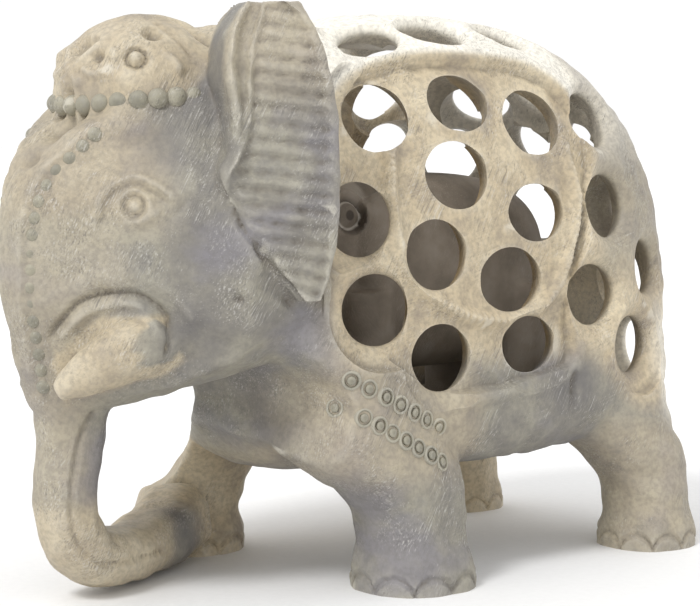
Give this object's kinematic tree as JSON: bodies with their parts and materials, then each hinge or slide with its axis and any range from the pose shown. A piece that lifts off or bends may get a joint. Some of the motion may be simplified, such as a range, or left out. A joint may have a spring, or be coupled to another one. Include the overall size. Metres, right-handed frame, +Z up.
{
  "type": "openwork elephant sculpture",
  "caption": "Carved soapstone elephant with an openwork body, curled trunk and tusks, and a smaller elephant standing loose inside it.",
  "frame": {"origin": "middle of the outline in plan, on the ground under the feet", "axes": "+Z up, the elephant faces -Y, its left side is +X"},
  "size_m": [0.056, 0.1056, 0.0755],
  "materials": {
    "soapstone": "matt, finely scratched",
    "dark_soapstone": "matt"
  },
  "bodies": {
    "root": {"elephant": "soapstone", "inner_elephant": "dark_soapstone"}
  },
  "joints": []
}
